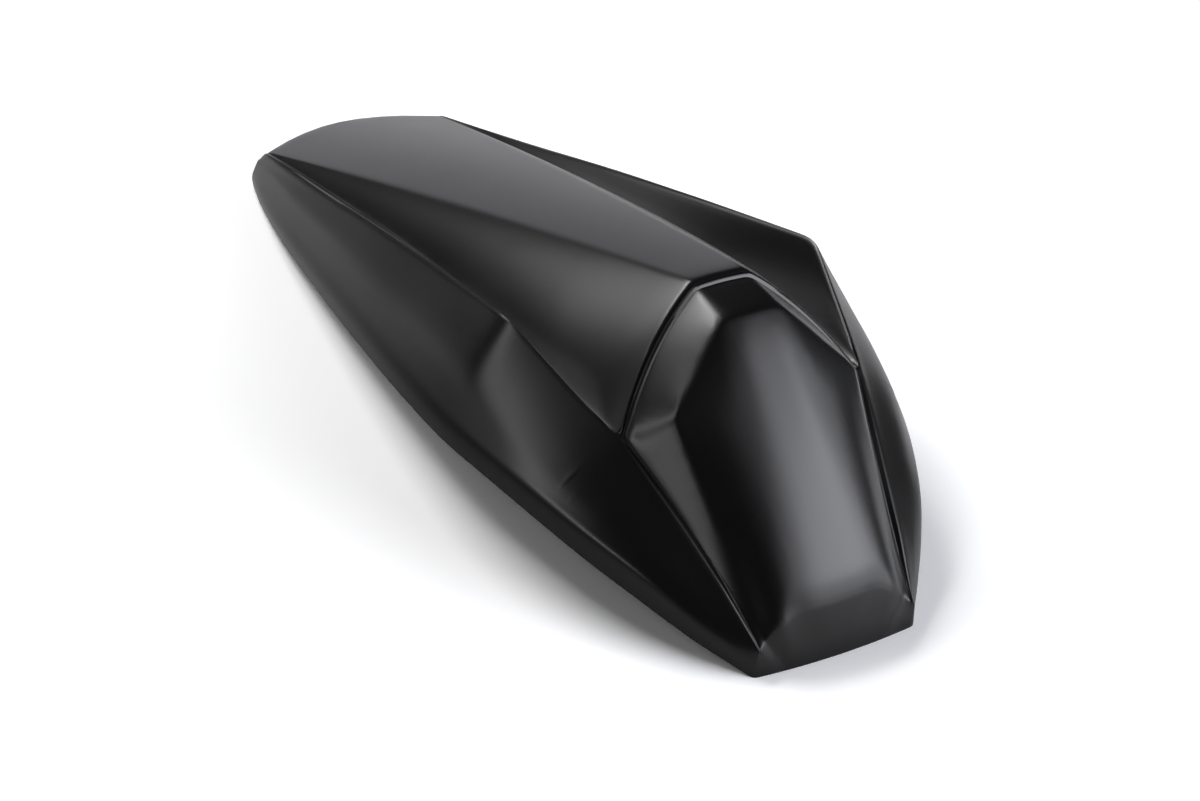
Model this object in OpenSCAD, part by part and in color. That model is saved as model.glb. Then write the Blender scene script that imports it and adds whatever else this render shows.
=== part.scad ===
// Seat cowl: a one-piece moulded shell, open underneath, that takes the place of a pillion seat.
// X across, Y from the nose lip (front) to the tail, Z up. The rim touches the floor at z = 0
// along the nose lip and along the tail wall; between them the side rims arch upwards.
// Every point is given as half width, y, height, and mirrored about the middle.

/* [Shell] */
// Wall thickness of the moulding
wall = 3.2; // [2.4:0.2:4]

/* [Spine] */
// Y of the front end of the flat top
crown_y = 107.5; // [104:0.5:112]
// Height of the flat top at its front end
crown_h = 114.9; // [112:0.1:118]
// Half width of the flat top at its front end
crown_half_w = 13.3; // [11:0.1:16]
// Fall of the flat top per millimetre at its front end
spine_fall = 0.2777; // [0.25:0.0001:0.29]
// How fast the fall grows towards the tail
spine_curve = 0.00014; // [0.0001:0.00001:0.00016]
// Arching of the flat top across its width at the tail
tail_crown = 4.5; // [2:0.5:6]

/* [Tail] */
// Y of the two tail corners
tail_y = 400.7; // [395:0.1:410]
// Half width over the tail corners
tail_half_w = 47.5; // [44:0.5:51]
// How far the tail edge bows out behind its corners
tail_bow = 15.3; // [6:0.1:20]

/* [Side rims] */
// Greatest half width over the side rims
rim_half_w = 93.9; // [90:0.1:97]
// Y at which the side rims end at the tail
rim_tail_y = 406; // [402:0.5:408]

/* [Wings] */
// Y of the peak of each wing
peak_y = 143; // [135:1:150]
// Half width over the wing peaks
peak_half_w = 76.6; // [72:0.1:81]
// Height of the wing peaks
peak_h = 93.9; // [88:0.1:96]
// Depth of the valley between wing and spine at the peak
valley_depth = 27.5; // [25:0.5:30]
// Radius-like reach of the rounding along the wing edge
ridge_round = 4.2; // [2:0.1:5]
// Height of the bead along the wing edge
bead_h = 0.4; // [0:0.1:0.6]
// Height of the tucked-in band between side crease and rim
band_h = 16; // [12:1:18]
// Width by which the band tucks in
band_tuck = 4.4; // [1:0.5:5]

/* [Front arch] */
// Half width of the arch corner, where arch and wing edge meet
arch_half_w = 59.8; // [57:0.1:62]
// Y of the arch corner
arch_y = 81.3; // [78:0.1:84]
// Height of the arch corner
arch_h = 69.3; // [67:0.1:72]
// Depth of the styling groove round the front panel
groove_depth = 1.9; // [0.6:0.1:2]
// How far the rounded front edge of the body drops at the arch
arch_drop = 0.4; // [0:0.1:0.6]

/* [Front panel] */
// Half width of the raised face at its top edge
face_top_half_w = 13.8; // [12:0.1:16]
// Y of the top edge of the raised face
face_top_y = 83.5; // [80:0.5:87]
// Height of the top edge of the raised face
face_top_h = 111.4; // [108:0.1:113]
// Half width of the raised face at its widest corners
face_side_half_w = 44; // [41:0.5:46]
// Y of the widest corners
face_side_y = 67; // [64:0.5:70]
// Height of the widest corners
face_side_h = 83.7; // [80:0.1:87]
// Half width of the middle field at its lower edge
face_low_half_w = 22.8; // [18:0.1:27]
// Height of the lower edge of the middle field
face_low_h = 27.4; // [22:0.1:30]

/* [Nose lip] */
// Half width of the nose lip at the rim
lip_half_w = 40.2; // [38:0.1:42]
// How far the lip bows forward in the middle
lip_bow = 3.3; // [1:0.1:5]
// Reach of the rounding between the front face and the lip wall
nose_round = 9; // [4:0.5:11]
// Height of the two lower tips of the wing edges
tip_h = 12.2; // [11:0.1:14]

/* [Screw bosses] */
// Outer diameter of the bosses
boss_d = 12; // [10:0.5:14]
// Pilot bore for a 5 mm self-tapping screw
pilot_d = 4.2; // [3.5:0.1:4.6]
// Depth of the pilot bore
pilot_depth = 18; // [10:1:24]
// Half distance between the front bosses
front_boss_x = 15; // [12:0.5:16]
// Y of the front bosses
front_boss_y = 222; // [215:1:240]
// Height of the seat face of the front bosses
front_boss_z = 46; // [40:1:54]
// Half distance between the rear bosses
rear_boss_x = 26; // [18:0.5:28]
// Y of the rear bosses
rear_boss_y = 330; // [310:1:335]
// Height of the seat face of the rear bosses
rear_boss_z = 20; // [16:1:24]
// Thickness of the ribs between the bosses
rib = 2.4; // [1.6:0.2:3]
// Depth of the ribs below the top wall
rib_depth = 14; // [8:1:16]

/* [Hidden] */
$fn = 48;

// Side rim, front to back: y, half width, height
RIM = [[0, lip_half_w, 0], [9, 0.4941 * rim_half_w, 3.4], [21, 0.5825 * rim_half_w, 8],
    [43, 0.7103 * rim_half_w, 15.9], [67, 0.8264 * rim_half_w, 22.8], [92, 0.9116 * rim_half_w, 27.9],
    [120, 0.9702 * rim_half_w, 30.6], [153, rim_half_w, 29.8], [189, 0.9702 * rim_half_w, 26.2],
    [228, 0.9116 * rim_half_w, 21.1], [267, 0.8413 * rim_half_w, 15.7],
    [308, 0.7646 * rim_half_w, 10.7], [349, 0.6837 * rim_half_w, 6],
    [387, 0.5836 * rim_half_w, 1.6], [rim_tail_y, 0.5176 * rim_half_w, 0]];
// Wing edge, front to back: y, half width, height
RIDGE = [[0, lip_half_w - 2, tip_h], [21, 43.6, 30], [42, 49.3, 44.4], [64, 55.6, 58.9],
    [arch_y, arch_half_w + 0.4, arch_h + 0.4], [peak_y, peak_half_w, peak_h], [208, 69, 77.3],
    [272, 62.1, 59.7], [336, 54.7, 40.6], [tail_y, tail_half_w, spine_h(tail_y) + 0.06]];
// Valley floor between wing and spine: y, half width, height
VALLEY = [[arch_y, arch_half_w - 0.8, arch_h - 0.4], [100, 60.8, peak_h - 0.93 * valley_depth],
    [peak_y, 60.8, peak_h - valley_depth], [198, 56.4, 61.6], [245, 53, 54.6], [290, 51, 46.3],
    [330, 49.6, spine_h(330) - 8.28], [370, 47.5, spine_h(370) - 3.25],
    [tail_y, tail_half_w - 1.2, spine_h(tail_y) + 0.06]];

ARCH_TOP = [crown_half_w, crown_y, crown_h];
ARCH_MID = [0, crown_y + 0.2, crown_h + 0.5];
ARCH_CORNER = [arch_half_w, arch_y, arch_h];
ARCH_SWELL = [2.1, 2.6, 3];
FACE_TOP = [face_top_half_w, face_top_y, face_top_h];
FACE_MID = [0, face_top_y - 0.6, face_top_h + 0.5];
FACE_SIDE = [face_side_half_w, face_side_y, face_side_h];
FACE_TIP = [lip_half_w - 5.6, 2.6, tip_h + 2.2];
FACE_LOW = [face_low_half_w, 3.2, face_low_h];
FACE_LOW_MID = [0, 1.6, face_low_h + 0.6];

// Columns, counted from the middle (0) to the rim (LAST)
LAST = 26;
APEX = 17;
RING = 15;
// Rows of the body, tail to arch, as a share of the way from arch (0) to tail (1)
BODY = [1, 0.992, 0.98, 0.96, 0.93, 0.89, 0.84, 0.79, 0.74, 0.69, 0.64, 0.58, 0.52, 0.46, 0.4,
    0.35, 0.3, 0.26, 0.23, 0.205, 0.189, 0.173, 0.15, 0.12, 0.09, 0.06, 0.035, 0.015, 0];
BODY_Y0 = 83;
// Rows in front of the arch: y along the wing edge
FRONT = [81.9, 81, 80.1, 79.1, 78, 75.5, 68, 65.5, 63, 57.5, 52, 46, 40, 34, 28, 22, 17, 12.5,
    8.5, 5.5, 3.8, 2.4, 1.2, 0];
NB = len(BODY);
NR = NB + len(FRONT);
// First ring row (ring 0) of the front panel
R0 = NB + 1;
// Position of the columns RING, RING - 1, ... 7 along the arch
SPREAD = [0, 0.03, 0.07, 0.11, 0.25, 0.41, 0.57, 0.73, 0.88];

function unit(v) = v / max(norm(v), 0.000001);
function mix(a, b, t) = a + (b - a) * t;
function clamp01(t) = min(1, max(0, t));
function soft(t) = let (u = clamp01(t)) u * u * (3 - 2 * u);

// Y from which the tucked-in band narrows towards the tail
BAND_FADE_Y = 230;

// Smooth curve through a table whose first value is y
function slot_of(tab, y, i = 0) = i >= len(tab) - 2 || y <= tab[i + 1][0] ? i : slot_of(tab, y, i + 1);
function slope(tab, i) = let (a = max(0, i - 1), b = min(len(tab) - 1, i + 1))
    (tab[b] - tab[a]) / (tab[b][0] - tab[a][0]);
function smooth_at(tab, y) =
    let (i = slot_of(tab, y), h = tab[i + 1][0] - tab[i][0], t = clamp01((y - tab[i][0]) / h),
        m0 = slope(tab, i) * h, m1 = slope(tab, i + 1) * h)
    tab[i] * (2 * t ^ 3 - 3 * t ^ 2 + 1) + m0 * (t ^ 3 - 2 * t ^ 2 + t)
        + tab[i + 1] * (3 * t ^ 2 - 2 * t ^ 3) + m1 * (t ^ 3 - t ^ 2);
// Straight runs through a table, with its corners eased over a short way
function run_at(tab, y) = let (i = slot_of(tab, y), h = tab[i + 1][0] - tab[i][0])
    mix(tab[i], tab[i + 1], clamp01((y - tab[i][0]) / h));
function eased_at(tab, y, e) = (run_at(tab, y - e) + 2 * run_at(tab, y) + run_at(tab, y + e)) / 4;

function as_point(r, y) = [r[1], y, r[2]];
function rim_at(y) = as_point(smooth_at(RIM, y), y);
function ridge_at(y) = as_point(abs(y - peak_y) < 12 ? eased_at(RIDGE, y, 4)
    : abs(y - arch_y) < 16 ? (eased_at(RIDGE, y - 5, 6) + eased_at(RIDGE, y + 5, 6)) / 2
    : run_at(RIDGE, y), y);
function crease_at(y) =
    let (g = soft(y / 45), b = 1 - 0.5 * soft((y - BAND_FADE_Y) / (rim_tail_y - 1 - BAND_FADE_Y)))
    rim_at(y) + [mix(0.9, band_tuck, g) * b - 1.8 * (1 - soft(y / 9)), 0, mix(8, band_h, g) * b];
function valley_at(y) = as_point(smooth_at(VALLEY, y), y);
function spine_h(y) = crown_h - spine_fall * (y - crown_y) - spine_curve * (y - crown_y) ^ 2;
function spine_edge(y) = let (t = (y - crown_y) / (tail_y - crown_y))
    [mix(crown_half_w, tail_half_w - 1.6, t) + 1.6 * t * (1 - t), y, spine_h(y)];

function bend(a, q, b, t) = a * (1 - t) ^ 2 + q * 2 * t * (1 - t) + b * t ^ 2;
// n points of a rounding at corner q between the neighbours p and r
function rounding(p, q, r, d, n) =
    let (a = q + unit(p - q) * min(d, 0.45 * norm(p - q)), b = q + unit(r - q) * min(d, 0.45 * norm(r - q)))
    [for (k = [0 : n - 1]) bend(a, q, b, k / (n - 1))];

// Raises the middle of the rounded wing edge a little, as a bead that fades out at the tip
function beaded(p, r, y) = let (up = unit(2 * r - p[0] - p[4]) * bead_h * soft((y - 4) / 20))
    [p[0], p[1] + up * 0.7, p[2] + up, p[3] + up * 0.7, p[4]];
// Fullness of the wing panels: most between the arch and the peak
SWELL_START = 35;
SWELL_END = 225;
function panel_swell(y) = 1 + 2.5 * soft(min((y - SWELL_START) / 50, (SWELL_END - y) / 80));
// Columns APEX - 1 outwards to the rim for a row at y, given the inner neighbour of the wing edge
function side_columns(inner, yr, yc, yk) =
    let (r = ridge_at(yr), c = crease_at(yc), k = rim_at(yk), reach = 4 + 5 * soft((yr - 90) / 120),
        cs = rounding(r, c, k, reach, 4), rs = beaded(rounding(inner, r, c, ridge_round, 5), r, yr),
        swell = [0.8, 0, 0.5] * panel_swell(yr) * clamp01(norm(r - c) / 25 - 0.3))
    concat(rs, [for (t = [1 / 3, 2 / 3]) mix(rs[4], cs[0], t) + swell * 6.75 * t * t * (1 - t)], cs, [k]);

// Half of one body row, middle to rim
function body_row(s) =
    let (yr = mix(BODY_Y0, tail_y, s), yv = mix(BODY_Y0 + 0.3, tail_y, s),
        yh = mix(crown_y + 2.5, tail_y, s), h = spine_edge(yh), v = valley_at(yv), r = ridge_at(yr),
        bow = mix(0.2, tail_bow, soft((s - 0.3) / 0.7)), crown = mix(0.5, tail_crown, s),
        swell = [2.1 * (1 - s), 2.6 * (1 - s) ^ 8, 3 * (1 - s) + 0.8 * s * (1 - s)],
        top = function (g) let (y = yh + bow * (1 - g * g)) [g * h[0], y, spine_h(y) + crown * (1 - g * g)],
        side = function (f) mix(v, h, f) + swell * 4 * f * (1 - f))
    concat([top(0), top(0.5)], rounding(top(0.7), top(1), side(0.8), 3, 5),
        [for (k = [8 : -1 : 4]) side((SPREAD[k] - SPREAD[3]) / (1 - SPREAD[3]))],
        rounding(side(0.12), v, r, VALLEY_ROUND, 3),
        side_columns(v, yr, mix(BODY_Y0, rim_tail_y - 2, s), mix(BODY_Y0, rim_tail_y, s)));
VALLEY_ROUND = 2.2;

// Arch line and upper edge of the raised face, from the corner (0) to the middle (1)
EDGE_SHARE = 0.84;
function two_leg(a, b, c, f) = f < EDGE_SHARE ? mix(a, b, f / EDGE_SHARE)
    : mix(b, c, (f - EDGE_SHARE) / (1 - EDGE_SHARE));
function arch(f) = two_leg(ARCH_CORNER, ARCH_TOP, ARCH_MID, f)
    + ARCH_SWELL * (f < EDGE_SHARE ? 4 * f / EDGE_SHARE * (1 - f / EDGE_SHARE) : 0);
function face_upper(f) = two_leg(FACE_SIDE, FACE_TOP, FACE_MID, f);
// Wing-side edge of the front panel and lower side edge of the raised face, corner (0) to tip (1)
function panel_low(v) = mix(ARCH_CORNER + [-0.9, -1.2, -2.2], [lip_half_w - 2.7, 0.3, tip_h - 0.4], v)
    + [-1.6, 0, 2.6] * 4 * v * (1 - v);
function face_low(v) = mix(FACE_SIDE, FACE_TIP, v);

// Ring k of the front panel: reach from its edge towards the face, and height over the edge
REACH = [0.6, 1.5, 2.4, 3.4, 5.4];
RISE = [-0.95, -0.42, -0.48, -1.05, -0.75];
FACE_ROUND = 2.2;
function ring_point(edge, inner, along, k, g, size) =
    let (f = unit(inner - edge), n = unit(cross(along, f)))
    edge + (f * REACH[k] + n * (RISE[k] * groove_depth * g)) * size;
// Rings 5 to 7: the rounded edge of the raised face
function face_ring(edge, out, down, k) =
    let (d = min(FACE_ROUND, 0.3 * norm(out - edge)), o = unit(out - edge) * d)
    edge + (k == 5 ? o : k == 7 ? down * d : (o + down * d) * 0.25);
function upper_raw(k, f, g) = k < 5
    ? ring_point(arch(f), face_upper(f), arch(min(1, f + 0.03)) - arch(max(0, f - 0.03)), k, g, 1)
    : face_ring(face_upper(f), arch(f), unit([0, -0.69, -0.72]), k);
function lower_raw(k, v, g) = k < 5
    ? ring_point(panel_low(v), face_low(v), panel_low(v) - panel_low(v + 0.03), k, g,
        0.6 - 0.4 * v)
    : face_ring(face_low(v), panel_low(v), unit(face_edge(v) - face_low(v)), k);
function mitre(k, g) = (upper_raw(k, 0, g) + lower_raw(k, 0, g)) / 2;
function ring_upper(k, f, g) = upper_raw(k, f, g) + (mitre(k, g) - upper_raw(k, 0, g)) * (1 - f) ^ 10;
function ring_lower(k, v, g) = lower_raw(k, v, g) + (mitre(k, g) - lower_raw(k, 0, g)) * (1 - v) ^ 10;

// Raised face: u across from its side edge (0) to the soft edge (1), and on to the middle
function face_edge(v) = mix(FACE_TOP, FACE_LOW, v) + [0, -1.6, 1.2] * 4 * v * (1 - v);
function face_mid(v) = mix(FACE_MID, FACE_LOW_MID, v) + [0, -2, 1.6] * 4 * v * (1 - v);
function face_side_pt(u, v) = mix(face_low(v), face_edge(v), u)
    + [0.6, -1.8, 0.9] * 4 * u * (1 - u) * soft(v * 6);
function face_mid_pt(u, v) = mix(face_edge(v), face_mid(v), u) + [0, -0.6, 0.4] * 4 * u * (1 - u);

// Place of a row along the lower branch of ring k, and of a column along its upper branch
function front_y(i) = FRONT[i - NB];
function row_share(i, k) = (front_y(R0 + k) - front_y(i)) / front_y(R0 + k);
function share_on_ring(c, k) = (SPREAD[RING - c] - SPREAD[k]) / (1 - SPREAD[k]);

// Half of one row in front of the arch, middle to column 14
function ring_row(k, g) =
    let (q = ring_upper(k, EDGE_SHARE, g), m = ring_upper(k, 1, g),
        b = ring_upper(k, share_on_ring(7, k) * EDGE_SHARE, g))
    concat([m, mix(m, q, 0.5)], rounding(m, q, b, k < 5 ? 3 : 6, 5), [b],
        [for (c = [8 : min(14, RING - k)]) ring_upper(k, share_on_ring(c, k) * EDGE_SHARE, g)]);
function lower_rings(i, k, g) = k < 1 ? [] : [for (c = [k : -1 : 1]) ring_lower(c, row_share(i, c), g)];
function panel_row(i, g) =
    let (k = i - R0, v = row_share(i, 7), e = face_edge(v))
    k <= 7 ? concat(ring_row(k, g), lower_rings(i, k - 1, g)) :
    concat([face_mid_pt(1, v), face_mid_pt(0.5, v)],
        rounding(face_mid_pt(0.5, v), e, face_side_pt(0.5, v), 9 - 4 * v, 5), [face_side_pt(0.45, v)],
        lower_rings(i, 7, g));
function front_row(i, g) = let (p = panel_row(i, g), y = front_y(i)) concat(p, side_columns(p[14], y, y, y));
// Rounded front edge of the body, halfway between the last body row and ring 0
function arch_fraction(c) = c < 2 ? 1 - 0.08 * c : c < 7 ? EDGE_SHARE : SPREAD[RING - c] * EDGE_SHARE;
function lip_row(a, b) = [for (c = [0 : LAST]) c > 14 ? mix(a[c], b[c], 0.5) :
    mix(a[c], b[c], 0.5) + [0.15, -0.25, 0.4]];
// Rounded tail edge: the outermost row drops a little
function tail_row(a) = [for (c = [0 : LAST]) a[c] + [0, -0.8, -1.1] * clamp01((20 - c) / 3)];
// Body rows close to the arch, dropped towards the inside to round the front edge
function dropped(a, d) = [for (c = [0 : LAST])
    a[c] - unit([a[c][0], 0, a[c][2] - 0.5 * crown_h]) * d * clamp01((15 - c) / 3)];
function arch_row(i) = dropped(body_row(BODY[i]),
    arch_drop * (i == NB - 1 ? 1 : i == NB - 2 ? 0.2 : 0));
function half_row(i, g) = i == 0 ? tail_row(body_row(1)) : i < NB ? arch_row(i) :
    i == NB ? lip_row(arch_row(NB - 1), front_row(R0, g)) : nose_rounded(front_row(i, g));

// Rounding between the face and the lip wall: none at the tips of the wing edges
NOSE_EDGE = front_row(NR - 1, 1);
NOSE_ABOVE = front_row(NR - 6, 1);
function nose_reach(c) = c > 14 ? 0 :
    nose_round * soft((norm(NOSE_EDGE[c] - [lip_half_w - 2, 0, tip_h]) - 1.5) / 15);
// Point of the rounding of column c: t from 0 on the face to 1 on the wall
function nose_bend(c, t) = let (q = NOSE_EDGE[c], d = nose_reach(c))
    bend(q + unit(NOSE_ABOVE[c] - q) * d, q, q + unit(lip_foot(c) - q) * d, t);
function nose_rounded(a) = [for (c = [0 : LAST])
    let (d = nose_reach(c), s = norm(a[c] - NOSE_EDGE[c]))
    d < 0.05 || s > d ? a[c] : nose_bend(c, (1 - s / d) / 2)];
// Foot of the lip wall: bowed forward, with rounded corners; c counts from the middle
LIP_FLAT = 13;
LIP_END = [lip_half_w - 4.2, -0.45 * lip_bow, 0];
function lip_foot(c) = c > LIP_FLAT
    ? bend(LIP_END, [lip_half_w - 1, -0.42 * lip_bow, 0], [lip_half_w, 0, 0],
        (c - LIP_FLAT) / (APEX - LIP_FLAT))
    : [LIP_END[0] * c / LIP_FLAT, -lip_bow * (1 - 0.55 * (c / LIP_FLAT) ^ 2), 0];

// Wall patches at both ends: k counts from the rim (0) to the wing edge, c across
STEPS = LAST - APEX;
function end_point(row, k, c, nose) =
    let (q = row[LAST - k], r = row[APEX], t = row[abs(c)], s = sign(c), a = abs(c) / APEX,
        f = q[2] / r[2])
    nose ? flip(k == STEPS ? t : nose_wall(abs(c), f) + (q - mix(lip_foot(APEX), r, f)) * a ^ 6, s) :
    flip([t[0] * q[0] / r[0], t[1] + q[1] - r[1], t[2] * f], s);
function nose_wall(c, f) =
    let (p = mix(lip_foot(c), NOSE_EDGE[c], f), d = nose_reach(c), s = norm(p - NOSE_EDGE[c]))
    d < 0.05 || s > d ? p : nose_bend(c, (1 + s / d) / 2);
function flip(p, s) = [s < 0 ? -p[0] : p[0], p[1], p[2]];

// Offsets from the outer to the inner skin, by column, in walls
INNER_COLS = [0, 4, 7, 9, 13, 17, 24, 26];
NI = len(INNER_COLS);
WIDE = [[0, 0, -1.06], [-0.38, 0, -1.02], [-0.66, 0, -0.82], [-0.66, 0, -0.84], [0.28, 0, -1.56],
    [0, 0, -2.1], [-1.05, 0, -0.14], [-1.03, 0, 0]];
NARROW = [[0, 0, -1.06], [-0.3, 0, -1.04], [-0.5, 0, -0.95], [-0.6, 0, -0.9], [-1.1, 0, -0.9],
    [-0.9, 0, -0.8], [-1.05, 0, -0.14], [-1.03, 0, 0]];
PANEL = [[0, 0.69, -0.74], [-0.15, 0.69, -0.74], [-0.3, 0.65, -0.72], [-0.8, 0.55, -0.8],
    [-0.95, 0.3, -0.55], [-0.95, 0.2, -0.45], [-1.06, 0.1, -0.12], [-1.06, 0.1, 0]];
TIP = [[0, 1.02, -0.6], [-0.1, 1.02, -0.6], [-0.4, 1.02, -0.9], [-0.9, 1.02, -1], [-0.95, 1.02, -0.85],
    [-1, 1.02, -0.85], [-1.03, 1.02, -0.4], [-1.03, 1.02, 0]];
REAR = [[0, -1.02, -1.06], [-0.5, -1.02, -1.04], [-0.75, -1.02, -1], [-0.77, -1.02, -1],
    [-0.82, -1.02, -1], [-0.95, -1.02, -0.9], [-1.03, -1.02, -0.3], [-1.03, -1.02, 0]];
function drop_share(y) = soft((ridge_at(y)[2] - valley_at(y)[2] - 3) / 7);
function inner_row(i) =
    let (h = half_row(i, 0), y = i < NB ? mix(BODY_Y0, tail_y, BODY[i]) : front_y(i), w = drop_share(y))
    [for (n = [0 : NI - 1])
        let (o = i == 0 ? REAR[n] : i < NB ? mix(NARROW[n], WIDE[n], w)
            : mix(PANEL[n], TIP[n], soft((10 - y) / 10)))
        h[INNER_COLS[n]] + o * wall];

// Rows of the two skins; close rows are left out inside
INNER_ROWS = concat([0], [for (i = [3 : NB - 1]) i], [R0 + 3, R0 + 6],
    [for (i = [R0 + 9 : NR - 6]) i], [NR - 1]);
NJ = len(INNER_ROWS);

// Two faces for each cell of a grid of points, the left half as the mirror image of the right
function cells(base, rows, cols, turn) = [for (i = [0 : rows - 2]) for (j = [0 : cols - 2])
    let (a = base + i * cols + j, b = a + 1, c = a + cols, d = c + 1, left = 2 * j < cols - 1)
    each left ? (turn ? [[a, d, b], [a, c, d]] : [[a, b, d], [a, d, c]])
        : (turn ? [[a, c, b], [b, c, d]] : [[a, b, c], [b, d, c]])];
function both_sides(half) = let (n = len(half) - 1)
    concat([for (j = [n : -1 : 1]) flip(half[j], -1)], [for (j = [0 : n]) half[j]]);

// Inner end wall: rim, crease and wing-edge levels (k) over the inner columns (c)
ENDC = 5;
function inner_end_point(r, k, c, nose) =
    let (n = abs(c), q = r[NI - 1 - k], t = r[n], w = r[ENDC], f = k == 0 ? 0 : q[2] / w[2])
    flip(k == 2 ? t : n == ENDC ? q
        : nose ? [q[0] * n / ENDC, q[1] - 0.55 * lip_bow * (1 - (n / ENDC) ^ 2), t[2] * f]
        : [t[0] * q[0] / w[0], t[1] + q[1] - w[1], t[2] * f], sign(c));

// Flat band along the side rims, from the outer to the inner skin; side is 0 left, 1 right
function side_rim(m, side, outer, inner) =
    let (first = INNER_ROWS[m], last = INNER_ROWS[m + 1], i = inner + m * WI + side * (WI - 1),
        o = function (r) outer + r * WO + side * (WO - 1))
    concat([for (r = [first : last - 1]) side == 0 ? [i, o(r), o(r + 1)] : [i, o(r + 1), o(r)]],
        [side == 0 ? [i, o(last), i + WI] : [i, i + WI, o(last)]]);
// The same along the foot of one end wall, from inner column m to the next
function end_rim(m, outer, inner, nose) =
    let (col = function (n) sign(n) * INNER_COLS[abs(n)], first = col(m), last = col(m + 1),
        i = inner + ENDC + m, o = function (c) outer + APEX + c)
    concat([for (c = [first : last - 1]) nose ? [i, o(c), o(c + 1)] : [i, o(c + 1), o(c)]],
        [nose ? [i, o(last), i + 1] : [i, i + 1, o(last)]]);

// Points across one outer row, one end-wall row and one inner row
WO = 2 * LAST + 1;
WE = 2 * APEX + 1;
WI = 2 * NI - 1;
// Place of the first point of each grid in the list of points
B_TAIL = NR * WO;
B_NOSE = B_TAIL + (STEPS + 1) * WE;
B_IN = B_NOSE + (STEPS + 1) * WE;
B_IN_TAIL = B_IN + NJ * WI;
B_IN_NOSE = B_IN_TAIL + 3 * (2 * ENDC + 1);

module shell() {
    rows = [for (i = [0 : NR - 1]) half_row(i, 1)];
    inner = [for (i = INNER_ROWS) inner_row(i)];
    end_wall = function (row, nose)
        [for (k = [0 : STEPS]) for (c = [-APEX : APEX]) end_point(row, k, c, nose)];
    inner_end = function (row, nose)
        [for (k = [0 : 2]) for (c = [-ENDC : ENDC]) inner_end_point(row, k, c, nose)];
    polyhedron(
        points = concat([for (r = rows) each both_sides(r)],
            end_wall(rows[0], false), end_wall(rows[NR - 1], true),
            [for (r = inner) each both_sides(r)],
            inner_end(inner[0], false), inner_end(inner[NJ - 1], true)),
        faces = concat(cells(0, NR, WO, false),
            cells(B_TAIL, STEPS + 1, WE, false), cells(B_NOSE, STEPS + 1, WE, true),
            cells(B_IN, NJ, WI, true),
            cells(B_IN_TAIL, 3, 2 * ENDC + 1, true), cells(B_IN_NOSE, 3, 2 * ENDC + 1, false),
            [for (m = [0 : NJ - 2]) for (side = [0, 1]) each side_rim(m, side, 0, B_IN)],
            [for (m = [-ENDC : ENDC - 1]) each end_rim(m, B_TAIL, B_IN_TAIL, false)],
            [for (m = [-ENDC : ENDC - 1]) each end_rim(m, B_NOSE, B_IN_NOSE, true)]),
        convexity = 10);
}

// Height of the middle of the top wall at x, y, and its slope along y in degrees
function top_mid(x, y) = let (t = (y - crown_y) / (tail_y - crown_y), g = x / spine_edge(y)[0])
    spine_h(y) + mix(0.5, tail_crown, t) * (1 - g * g) - 0.53 * wall;
function top_angle(y) = -atan(spine_fall + 2 * spine_curve * (y - crown_y));

// Everything under the middle of the top wall near y, out to half width w
module under_top(x, y, w) {
    translate([0, y, top_mid(x, y)])
        rotate([top_angle(y), 0, 0])
            translate([-w, -w, -crown_h])
                cube([2 * w, 2 * w, crown_h]);
}

// Height of the raw boss before the top wall trims it
BOSS_REACH = 90;

// A pair of screw bosses with a rib between them, ending in the top wall
module boss_pair(x, y, z) {
    intersection() {
        union() {
            for (side = [-1, 1])
                translate([side * x, y, z])
                    cylinder(d = boss_d, h = BOSS_REACH);
            translate([-x, y - rib / 2, top_mid(x, y) - rib_depth])
                cube([2 * x, rib, BOSS_REACH]);
        }
        under_top(x, y, 60);
    }
}

module pilot_pair(x, y, z) {
    for (side = [-1, 1])
        translate([side * x, y, z - 1])
            cylinder(d = pilot_d, h = pilot_depth + 1);
}

// Y of the middle of the whole length, taken as the origin
MID_Y = let (r = half_row(0, 1)) (r[0][1] + r[LAST][1] - r[APEX][1] - lip_bow) / 2;

module seat_cowl() {
    color([0.06, 0.06, 0.065])
        translate([0, -MID_Y, 0])
            difference() {
                union() {
                    shell();
                    boss_pair(front_boss_x, front_boss_y, front_boss_z);
                    boss_pair(rear_boss_x, rear_boss_y, rear_boss_z);
                }
                pilot_pair(front_boss_x, front_boss_y, front_boss_z);
                pilot_pair(rear_boss_x, rear_boss_y, rear_boss_z);
            }
}

seat_cowl();
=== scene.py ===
"""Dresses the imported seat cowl: a smooth satin black moulding in a soft, plain studio."""

import logging
import math
from dataclasses import dataclass, field
from typing import Any, Union

import bpy
from mathutils import Matrix, Vector

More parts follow.
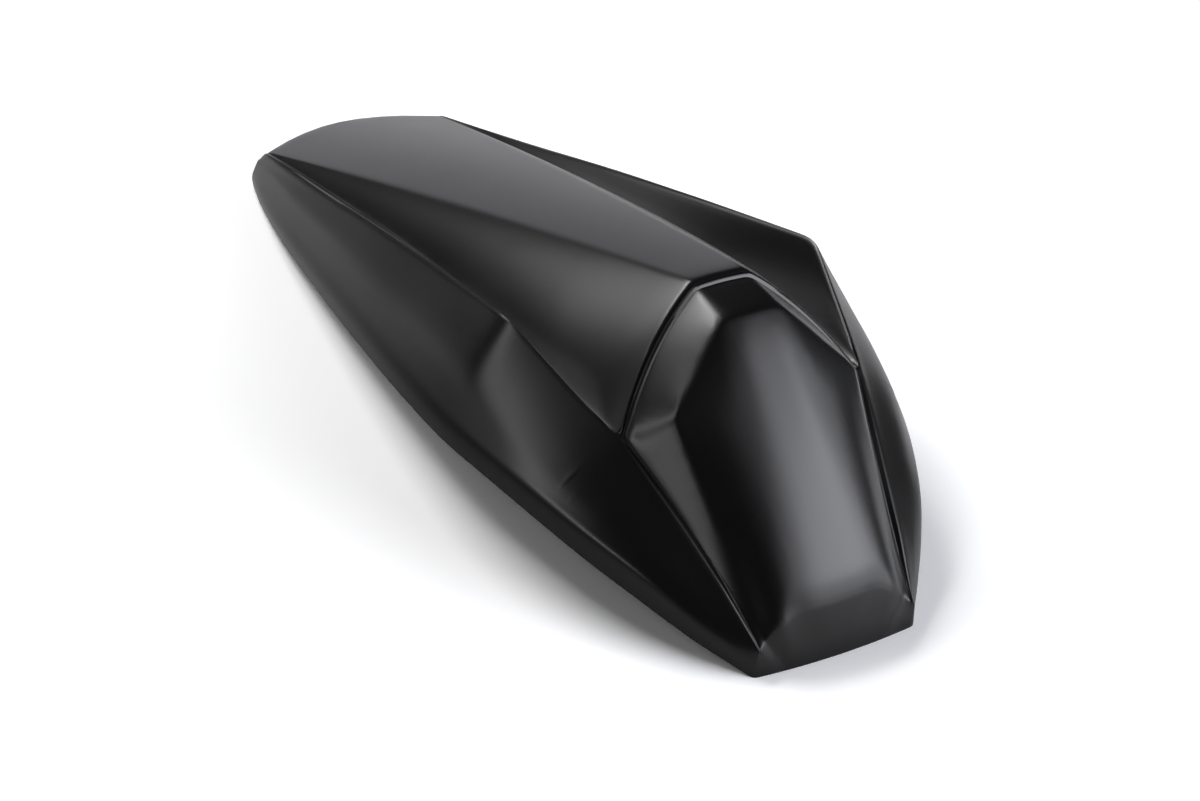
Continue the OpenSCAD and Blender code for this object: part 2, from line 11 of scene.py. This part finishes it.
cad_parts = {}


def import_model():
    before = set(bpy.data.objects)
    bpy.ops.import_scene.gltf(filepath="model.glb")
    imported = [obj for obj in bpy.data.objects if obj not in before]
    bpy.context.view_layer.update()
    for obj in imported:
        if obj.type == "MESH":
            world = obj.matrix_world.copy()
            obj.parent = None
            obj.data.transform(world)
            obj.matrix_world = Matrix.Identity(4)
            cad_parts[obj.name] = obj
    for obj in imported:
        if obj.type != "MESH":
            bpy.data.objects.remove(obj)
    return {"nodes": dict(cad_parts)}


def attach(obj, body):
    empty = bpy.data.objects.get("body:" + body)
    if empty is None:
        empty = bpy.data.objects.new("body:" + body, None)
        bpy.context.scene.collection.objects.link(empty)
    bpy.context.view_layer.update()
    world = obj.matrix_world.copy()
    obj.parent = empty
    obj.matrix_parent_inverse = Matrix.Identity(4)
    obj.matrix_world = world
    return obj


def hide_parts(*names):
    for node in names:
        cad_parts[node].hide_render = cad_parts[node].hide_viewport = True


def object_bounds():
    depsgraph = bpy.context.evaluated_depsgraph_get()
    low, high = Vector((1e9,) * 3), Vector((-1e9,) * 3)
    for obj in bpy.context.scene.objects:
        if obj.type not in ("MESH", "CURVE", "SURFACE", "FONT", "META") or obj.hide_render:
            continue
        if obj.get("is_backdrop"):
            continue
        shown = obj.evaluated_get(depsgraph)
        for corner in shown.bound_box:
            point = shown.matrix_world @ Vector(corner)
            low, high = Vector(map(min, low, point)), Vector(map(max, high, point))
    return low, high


LOG = logging.getLogger("seat_cowl")
NODE = "seat_cowl"
MM = 0.001
Number = Union[int, float]
Colour = tuple[float, float, float]
Span = tuple[float, float]
Inputs = dict[Union[int, str], Any]

WHITE: Colour = (1.0, 1.0, 1.0)
COOL: Colour = (0.975, 0.985, 1.05)


class Expr:
    """A value in a shader, with Python's operators standing for Math nodes."""

    def __init__(self, graph: "Graph", socket: bpy.types.NodeSocket) -> None:
        """Wraps a node's output.

        Args:
            graph: The material that the node belongs to.
            socket: The output to wrap.
        """
        self.graph = graph
        self.socket = socket

    def math(self, operation: str, *others: Union["Expr", Number]) -> "Expr":
        """Adds a Math node.

        Args:
            operation: The Math node's operation.
            others: The values after this one.

        Returns:
            The node's result.
        """
        values = {i: v for i, v in enumerate((self, *others))}
        return self.graph.node("ShaderNodeMath", {"operation": operation}, values)

    def __add__(self, other: Union["Expr", Number]) -> "Expr":
        """Sum."""
        return self.math("ADD", other)

    def __sub__(self, other: Union["Expr", Number]) -> "Expr":
        """Difference."""
        return self.math("SUBTRACT", other)

    def __mul__(self, other: Union["Expr", Number]) -> "Expr":
        """Product."""
        return self.math("MULTIPLY", other)

    def __rsub__(self, other: Number) -> "Expr":
        """A number less this value."""
        return self.graph.node("ShaderNodeMath", {"operation": "SUBTRACT"}, {0: other, 1: self})


class Graph:
    """The node tree of one material or world."""

    def __init__(self, tree: bpy.types.NodeTree) -> None:
        """Empties the tree.

        Args:
            tree: The node tree to fill.
        """
        self.tree = tree
        tree.nodes.clear()

    def raw(self, kind: str, settings: dict[str, Any], inputs: Inputs) -> bpy.types.Node:
        """Adds any node.

        Args:
            kind: The node's type.
            settings: The node's own properties, set first.
            inputs: Values or links for its sockets.

        Returns:
            The node.
        """
        node = self.tree.nodes.new(kind)
        for name, value in settings.items():
            setattr(node, name, value)
        for key, value in inputs.items():
            if isinstance(value, Expr):
                self.tree.links.new(value.socket, node.inputs[key])
            else:
                node.inputs[key].default_value = value
        return node

    def node(
        self,
        kind: str,
        settings: dict[str, Any],
        inputs: Inputs,
        output: Union[int, str] = 0,
    ) -> Expr:
        """Adds a node and hands on one of its outputs.

        Args:
            kind: The node's type.
            settings: The node's own properties, set first.
            inputs: Values or links for its sockets.
            output: The output's name or place.

        Returns:
            The output.
        """
        return Expr(self, self.raw(kind, settings, inputs).outputs[output])

    def object_point(self) -> Expr:
        """The point's place on the object, in metres."""
        return self.node("ShaderNodeTexCoord", {}, {}, "Object")

    def noise(self, point: Expr, period: float, detail: float, roughness: float) -> Expr:
        """Noise that varies over a length.

        Args:
            point: Where it is read.
            period: The length of one blob, in metres.
            detail: Number of finer layers.
            roughness: Strength of the finer layers.

        Returns:
            A value from 0 to 1, mostly near 0.5.
        """
        settings = {"noise_dimensions": "3D"}
        inputs = {"Vector": point, "Scale": 1 / period, "Detail": detail, "Roughness": roughness}
        return self.node("ShaderNodeTexNoise", settings, inputs, "Fac")

    def between(self, fac: Expr, low: float, high: float, span: Span = (0.0, 1.0)) -> Expr:
        """Maps a span of values to low..high, and no further.

        Args:
            fac: The value to map.
            low: Result at the start of the span.
            high: Result at its end.
            span: Values that give low and high.

        Returns:
            The mapped value.
        """
        inputs = {"Value": fac, "From Min": span[0], "From Max": span[1], "To Min": low, "To Max": high}
        return self.node("ShaderNodeMapRange", {"clamp": True}, inputs, "Result")

    def blend(self, fac: Expr, low: Colour, high: Colour) -> Expr:
        """Mixes two colours.

        Args:
            fac: 0 for the first colour, 1 for the second.
            low: First colour.
            high: Second colour.

        Returns:
            The mixed colour.
        """
        inputs = {0: fac, 6: (*low, 1.0), 7: (*high, 1.0)}
        return self.node("ShaderNodeMix", {"data_type": "RGBA"}, inputs, 2)


@dataclass(frozen=True)
class SatinMoulding:
    """Unpainted black moulding with a fine spark-eroded grain."""

    name: str = "satin_black_moulding"
    dark: Colour = (0.0010, 0.0010, 0.0011)
    light: Colour = (0.0020, 0.0019, 0.0021)
    roughness: float = 0.31
    roughness_spread: float = 0.04
    cloud_share: float = 0.6
    grain: float = 0.55 * MM
    grain_height: float = 0.012 * MM
    sink: float = 26 * MM
    sink_height: float = 0.035 * MM

    def material(self) -> bpy.types.Material:
        """Builds the material.

        Returns:
            The material.
        """
        made = bpy.data.materials.new(self.name)
        made.use_nodes = True
        g = Graph(made.node_tree)
        point = g.object_point()
        cloud = g.noise(point, self.sink * 2, detail=3, roughness=0.5)
        grain = g.noise(point, self.grain, detail=2, roughness=0.55)
        flow = g.noise(point, self.sink, detail=1, roughness=0.4)
        rough = g.between(
            cloud * self.cloud_share + grain * (1 - self.cloud_share),
            self.roughness - self.roughness_spread,
            self.roughness + self.roughness_spread,
        )
        height = grain * self.grain_height + flow * self.sink_height
        bump = g.node("ShaderNodeBump", {}, {"Strength": 1.0, "Distance": 1.0, "Height": height})
        shader = g.node(
            "ShaderNodeBsdfPrincipled",
            {},
            {"Base Color": g.blend(cloud, self.dark, self.light), "Roughness": rough, "Normal": bump},
        )
        g.raw("ShaderNodeOutputMaterial", {}, {"Surface": shader})
        return made


@dataclass
class Moulding:
    """The cowl's one piece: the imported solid, smoothed into a fair surface."""

    finish: SatinMoulding = field(default_factory=SatinMoulding)
    name: str = "cowl_moulding"
    weld: float = 0.02 * MM
    crease_angle: float = math.radians(38)
    smooth_angle: float = math.radians(40)
    join_angle: float = math.radians(35)
    join_shape: float = math.radians(70)
    levels: int = 1

    def copy_of(self, node: bpy.types.Object) -> bpy.types.Object:
        """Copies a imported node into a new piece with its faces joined.

        Args:
            node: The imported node.

        Returns:
            The new piece.
        """
        piece = bpy.data.objects.new(self.name, node.data.copy())
        piece.data.materials.clear()
        bpy.context.scene.collection.objects.link(piece)
        bpy.ops.object.select_all(action="DESELECT")
        bpy.context.view_layer.objects.active = piece
        piece.select_set(True)
        bpy.ops.object.mode_set(mode="EDIT")
        bpy.ops.mesh.select_all(action="SELECT")
        bpy.ops.mesh.customdata_custom_splitnormals_clear()
        bpy.ops.mesh.remove_doubles(threshold=self.weld)
        bpy.ops.mesh.tris_convert_to_quads(
            face_threshold=self.join_angle, shape_threshold=self.join_shape
        )
        bpy.ops.object.mode_set(mode="OBJECT")
        return piece

    def hold_edges(self) -> None:
        """Creases the active piece's sharp edges, so that the subdivision keeps them."""
        bpy.ops.object.mode_set(mode="EDIT")
        bpy.ops.mesh.select_mode(type="EDGE")
        bpy.ops.mesh.select_all(action="DESELECT")
        bpy.ops.mesh.edges_select_sharp(sharpness=self.crease_angle)
        bpy.ops.transform.edge_crease(value=1)
        bpy.ops.mesh.select_all(action="DESELECT")
        bpy.ops.mesh.select_mode(type="VERT")
        bpy.ops.object.mode_set(mode="OBJECT")

    def build(self, node: bpy.types.Object) -> bpy.types.Object:
        """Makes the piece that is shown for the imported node.

        Args:
            node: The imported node.

        Returns:
            The finished piece.
        """
        piece = self.copy_of(node)
        self.hold_edges()
        soften = piece.modifiers.new("fair", "SUBSURF")
        soften.levels = soften.render_levels = self.levels
        bpy.ops.object.modifier_apply(modifier=soften.name)
        bpy.ops.object.shade_smooth_by_angle(angle=self.smooth_angle)
        piece.data.materials.append(self.finish.material())
        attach(piece, "root")
        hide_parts(NODE)
        return piece


@dataclass(frozen=True)
class Softbox:
    """A rectangular lamp that faces the cowl, placed by direction: azimuth from +Y towards +X."""

    name: str
    azimuth: float
    elevation: float
    width: float
    height: float
    radiance: float
    tint: Colour = WHITE
    distance: float = 1.5

    def build(self, target: Vector) -> bpy.types.Object:
        """Makes the lamp.

        Args:
            target: The point that it faces.

        Returns:
            The lamp.
        """
        a, e = math.radians(self.azimuth), math.radians(self.elevation)
        out = Vector((math.cos(e) * math.sin(a), math.cos(e) * math.cos(a), math.sin(e)))
        bpy.ops.object.light_add(type="AREA", location=target + out * self.distance)
        lamp = bpy.context.object
        lamp.name = self.name
        lamp.rotation_mode = "QUATERNION"
        lamp.rotation_quaternion = (-out).to_track_quat("-Z", "Y")
        lamp.data.shape = "RECTANGLE"
        lamp.data.size = self.width
        lamp.data.size_y = self.height
        lamp.data.energy = self.radiance * math.pi * self.width * self.height
        lamp.data.color = self.tint
        lamp.visible_camera = False
        return lamp


@dataclass(frozen=True)
class PaleFloor:
    """Pale floor: plain to the camera, and painted with light and shade by place for the light that it
    throws back.

    The painted parts are a pool of light for the right and rear, a weaker one for the left, and painted
    shade everywhere else, and never add up to more than 1.
    Each edge is the span, in metres, over which a painted pool of light comes in, and the slants turn
    the edges.
    """

    name: str = "pale_floor_painted_reflections"
    seen: float = 1.2
    # Painted light and shade for reflections and bounce: a painted pool of light to the right and rear,
    # a weaker one to the left, and painted shade as the base everywhere.
    right: float = 0.8
    left: float = 0.4
    painted_shade_level: float = 0.12
    right_edge: Span = (-0.12, 0.12)
    left_edge: Span = (-0.30, -0.15)
    front_edge: Span = (-0.14, -0.02)
    rear_slant: float = 0.6
    front_slant: float = -0.2
    left_slant: float = 0.18
    white_edge: Span = (0.35, 1.6)

    def painted_light_tone(self, g: Graph, across: Expr, along: Expr) -> Expr:
        """Gives the painted light and shade on the floor for every ray but the camera's.

        Args:
            g: The floor's node tree.
            across: Place along X.
            along: Place along Y.

        Returns:
            The painted light and shade.
        """
        # Masks of the painted pools of light, to the right and rear and to the left; painted shade lies
        # under both.
        side = across + (along * self.rear_slant).math("MAXIMUM", along * self.front_slant)
        right = g.between(side, 0.0, 1.0, self.right_edge)
        behind = g.between(along - across * self.left_slant, 0.0, 1.0, self.front_edge)
        left = behind * g.between(across, 1.0, 0.0, self.left_edge)
        return right * self.right + left * (1 - right) * self.left + self.painted_shade_level

    def material(self) -> bpy.types.Material:
        """Builds the material, which turns plain white for the camera far from the cowl.

        Returns:
            The material.
        """
        made = bpy.data.materials.new(self.name)
        made.use_nodes = True
        g = Graph(made.node_tree)
        seen = g.node("ShaderNodeLightPath", {}, {}, "Is Camera Ray")
        point = g.object_point()
        across = g.node("ShaderNodeSeparateXYZ", {}, {0: point}, "X")
        along = g.node("ShaderNodeSeparateXYZ", {}, {0: point}, "Y")
        # Painted light and shade on the floor, seen only by rays that are not the camera's.
        painted_light_tone = self.painted_light_tone(g, across, along)
        near = g.node("ShaderNodeBsdfDiffuse", {}, {"Color": painted_light_tone + seen * (self.seen - painted_light_tone)})
        away = g.node("ShaderNodeEmission", {}, {"Strength": 1.0})
        fade = g.between(across * across + along * along, 0.0, 1.0, self.white_edge)
        shader = g.node("ShaderNodeMixShader", {}, {0: seen * fade, 1: near, 2: away})
        g.raw("ShaderNodeOutputMaterial", {}, {"Surface": shader})
        return made


@dataclass
class Studio:
    """Floor, lamps, surroundings and camera."""

    paper: PaleFloor = field(default_factory=PaleFloor)
    floor_size: float = 14.0
    surround: float = 0.04
    lamps: tuple[Softbox, ...] = (
        Softbox("key", 134, 25, 0.96, 0.50, 4.2, COOL),
        Softbox("key_soft", 145, 22, 1.00, 1.44, 3.2, COOL),
        Softbox("top_rear", -21, 56, 0.92, 0.32, 15.0),
        Softbox("rear", -23, 37.5, 0.56, 0.49, 4.3),
        Softbox("left_strip", -97, 1.5, 0.90, 0.25, 4.5),
        Softbox("left_card", -80, 27, 0.30, 1.20, 3.4),
        Softbox("rear_paper", 26, 9, 0.81, 0.97, 0.6, COOL),
    )
    eye: tuple[float, float, float] = (-0.7106, -0.9926, 0.8190)
    ahead: tuple[float, float, float] = (0.4923, 0.6653, -0.5612)
    up: tuple[float, float, float] = (0.2295, 0.5227, 0.8210)
    lens: float = 100.0
    sensor: float = 36.0
    clip: Span = (0.05, 50.0)

    def floor(self) -> bpy.types.Object:
        """Lays the pale floor on the plane that the rim stands on.

        Returns:
            The floor.
        """
        bpy.ops.mesh.primitive_plane_add(size=self.floor_size)
        floor = bpy.context.object
        floor.name = "floor"
        floor.data.materials.append(self.paper.material())
        floor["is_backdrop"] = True
        return floor

    def world(self) -> None:
        """Gives a dim surround that the camera sees as white."""
        world = bpy.data.worlds.new("studio")
        bpy.context.scene.world = world
        world.use_nodes = True
        g = Graph(world.node_tree)
        seen = g.node("ShaderNodeLightPath", {}, {}, "Is Camera Ray")
        level = g.between(seen, self.surround, 1.0)
        shader = g.node("ShaderNodeBackground", {}, {"Color": (*WHITE, 1.0), "Strength": level})
        g.raw("ShaderNodeOutputWorld", {}, {"Surface": shader})

    def camera(self) -> bpy.types.Object:
        """Places the camera at the photograph's viewing angle.

        Returns:
            The camera.
        """
        bpy.ops.object.camera_add(location=self.eye)
        cam = bpy.context.object
        cam.name = "camera"
        ahead, up = Vector(self.ahead).normalized(), Vector(self.up)
        right = ahead.cross(up).normalized()
        up = right.cross(ahead)
        cam.rotation_mode = "QUATERNION"
        cam.rotation_quaternion = Matrix((right, up, -ahead)).transposed().to_quaternion()
        cam.data.lens = self.lens
        cam.data.sensor_width = self.sensor
        cam.data.clip_start, cam.data.clip_end = self.clip
        bpy.context.scene.camera = cam
        return cam

    def build(self, target: Vector) -> None:
        """Sets up everything round the cowl.

        Args:
            target: The point that the lamps face.
        """
        self.floor()
        self.world()
        for lamp in self.lamps:
            lamp.build(target)
        self.camera()
        bpy.context.scene.view_settings.view_transform = "Standard"


def main() -> None:
    """Loads the frame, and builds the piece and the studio."""
    logging.basicConfig(level=logging.INFO, format="%(name)s: %(message)s")
    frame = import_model()
    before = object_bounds()
    middle = (before[0] + before[1]) / 2
    Studio().build(middle)
    piece = Moulding().build(frame["nodes"][NODE])
    LOG.info("%s: %d faces", piece.name, len(piece.data.polygons))


if __name__ == "__main__":
    main()
